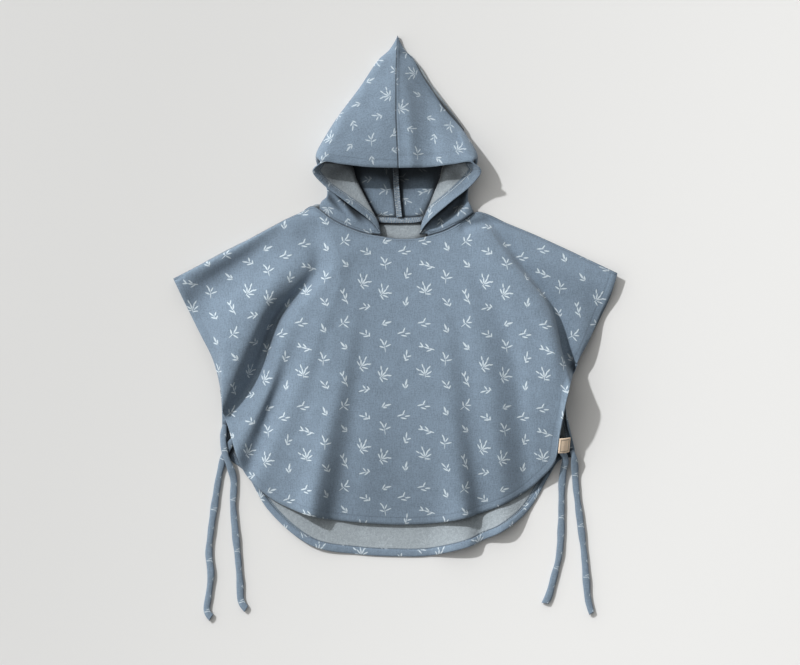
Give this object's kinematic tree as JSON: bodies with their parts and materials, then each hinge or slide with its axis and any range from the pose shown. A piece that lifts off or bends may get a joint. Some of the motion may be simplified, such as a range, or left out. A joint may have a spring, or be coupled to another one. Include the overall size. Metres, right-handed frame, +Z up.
{
  "type": "hooded bath poncho",
  "caption": "Hooded bath poncho for a toddler in soft cloth with a pale leaf print, open sides with ties, laid flat face up.",
  "frame": {"origin": "middle of the laid garment's box, on the surface that it lies on", "axes": "+X to the right of the laid garment as seen from above, +Y along its length towards the hood's peak, +Z up from the surface"},
  "size_m": [0.62, 0.8172, 0.0487],
  "materials": {
    "printed_cloth": "matt grey-blue woven cotton with a cream leaf print, paler and greyer on its reverse",
    "lining_cloth": "the same printed cotton, print to the inside of the hood",
    "hem_cloth": "the same printed cotton, turned in and topstitched",
    "tie_cloth": "the same printed cotton, sewn into narrow flat tubes",
    "label_cloth": "plain tan woven tape, bare"
  },
  "bodies": {
    "root": {"body_front": "printed_cloth", "body_back": "printed_cloth", "hood_left": "printed_cloth", "hood_right": "printed_cloth", "lining_left": "lining_cloth", "lining_right": "lining_cloth", "back_hem": "hem_cloth", "tie_left_outer": "tie_cloth", "tie_left_inner": "tie_cloth", "tie_right_inner": "tie_cloth", "tie_right_outer": "tie_cloth", "label": "label_cloth"}
  },
  "joints": []
}
